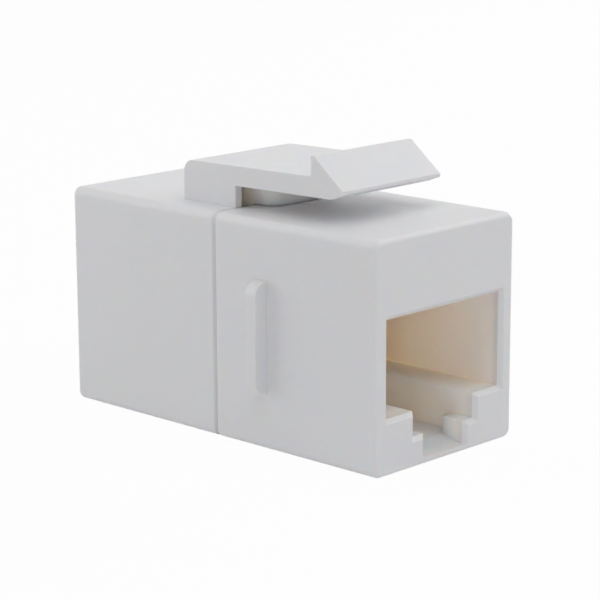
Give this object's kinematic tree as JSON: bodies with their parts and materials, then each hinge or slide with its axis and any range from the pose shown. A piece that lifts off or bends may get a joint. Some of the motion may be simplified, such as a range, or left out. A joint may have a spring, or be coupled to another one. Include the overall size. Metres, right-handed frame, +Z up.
{
  "type": "rj45 inline coupler",
  "caption": "White keystone inline coupler for modular network plugs: two moulded halves with a jack opening at each end, side panel stops and a flexing latch on top.",
  "frame": {"origin": "middle of the underside, at the seam between the two halves", "axes": "+X along the plugs towards the end that passes through the panel, +Z up with the latch on top, -Y the side that faces the viewer in the picture"},
  "size_m": [0.0304, 0.0168, 0.0209],
  "materials": {
    "housing_plastic": "white moulded plastic, satin",
    "carrier_plastic": "ivory moulded plastic, matt",
    "board_laminate": "green solder mask over glass laminate",
    "contact_plating": "gold plated spring strip"
  },
  "bodies": {
    "root": {"front_housing": "housing_plastic", "rear_housing": "housing_plastic", "front_contact_carrier": "carrier_plastic", "rear_contact_carrier": "carrier_plastic", "circuit_board": "board_laminate", "front_contact_1": "contact_plating", "front_contact_2": "contact_plating", "front_contact_3": "contact_plating", "front_contact_4": "contact_plating", "front_contact_5": "contact_plating", "front_contact_6": "contact_plating", "front_contact_7": "contact_plating", "front_contact_8": "contact_plating", "rear_contact_1": "contact_plating", "rear_contact_2": "contact_plating", "rear_contact_3": "contact_plating", "rear_contact_4": "contact_plating", "rear_contact_5": "contact_plating", "rear_contact_6": "contact_plating", "rear_contact_7": "contact_plating", "rear_contact_8": "contact_plating"}
  },
  "joints": []
}
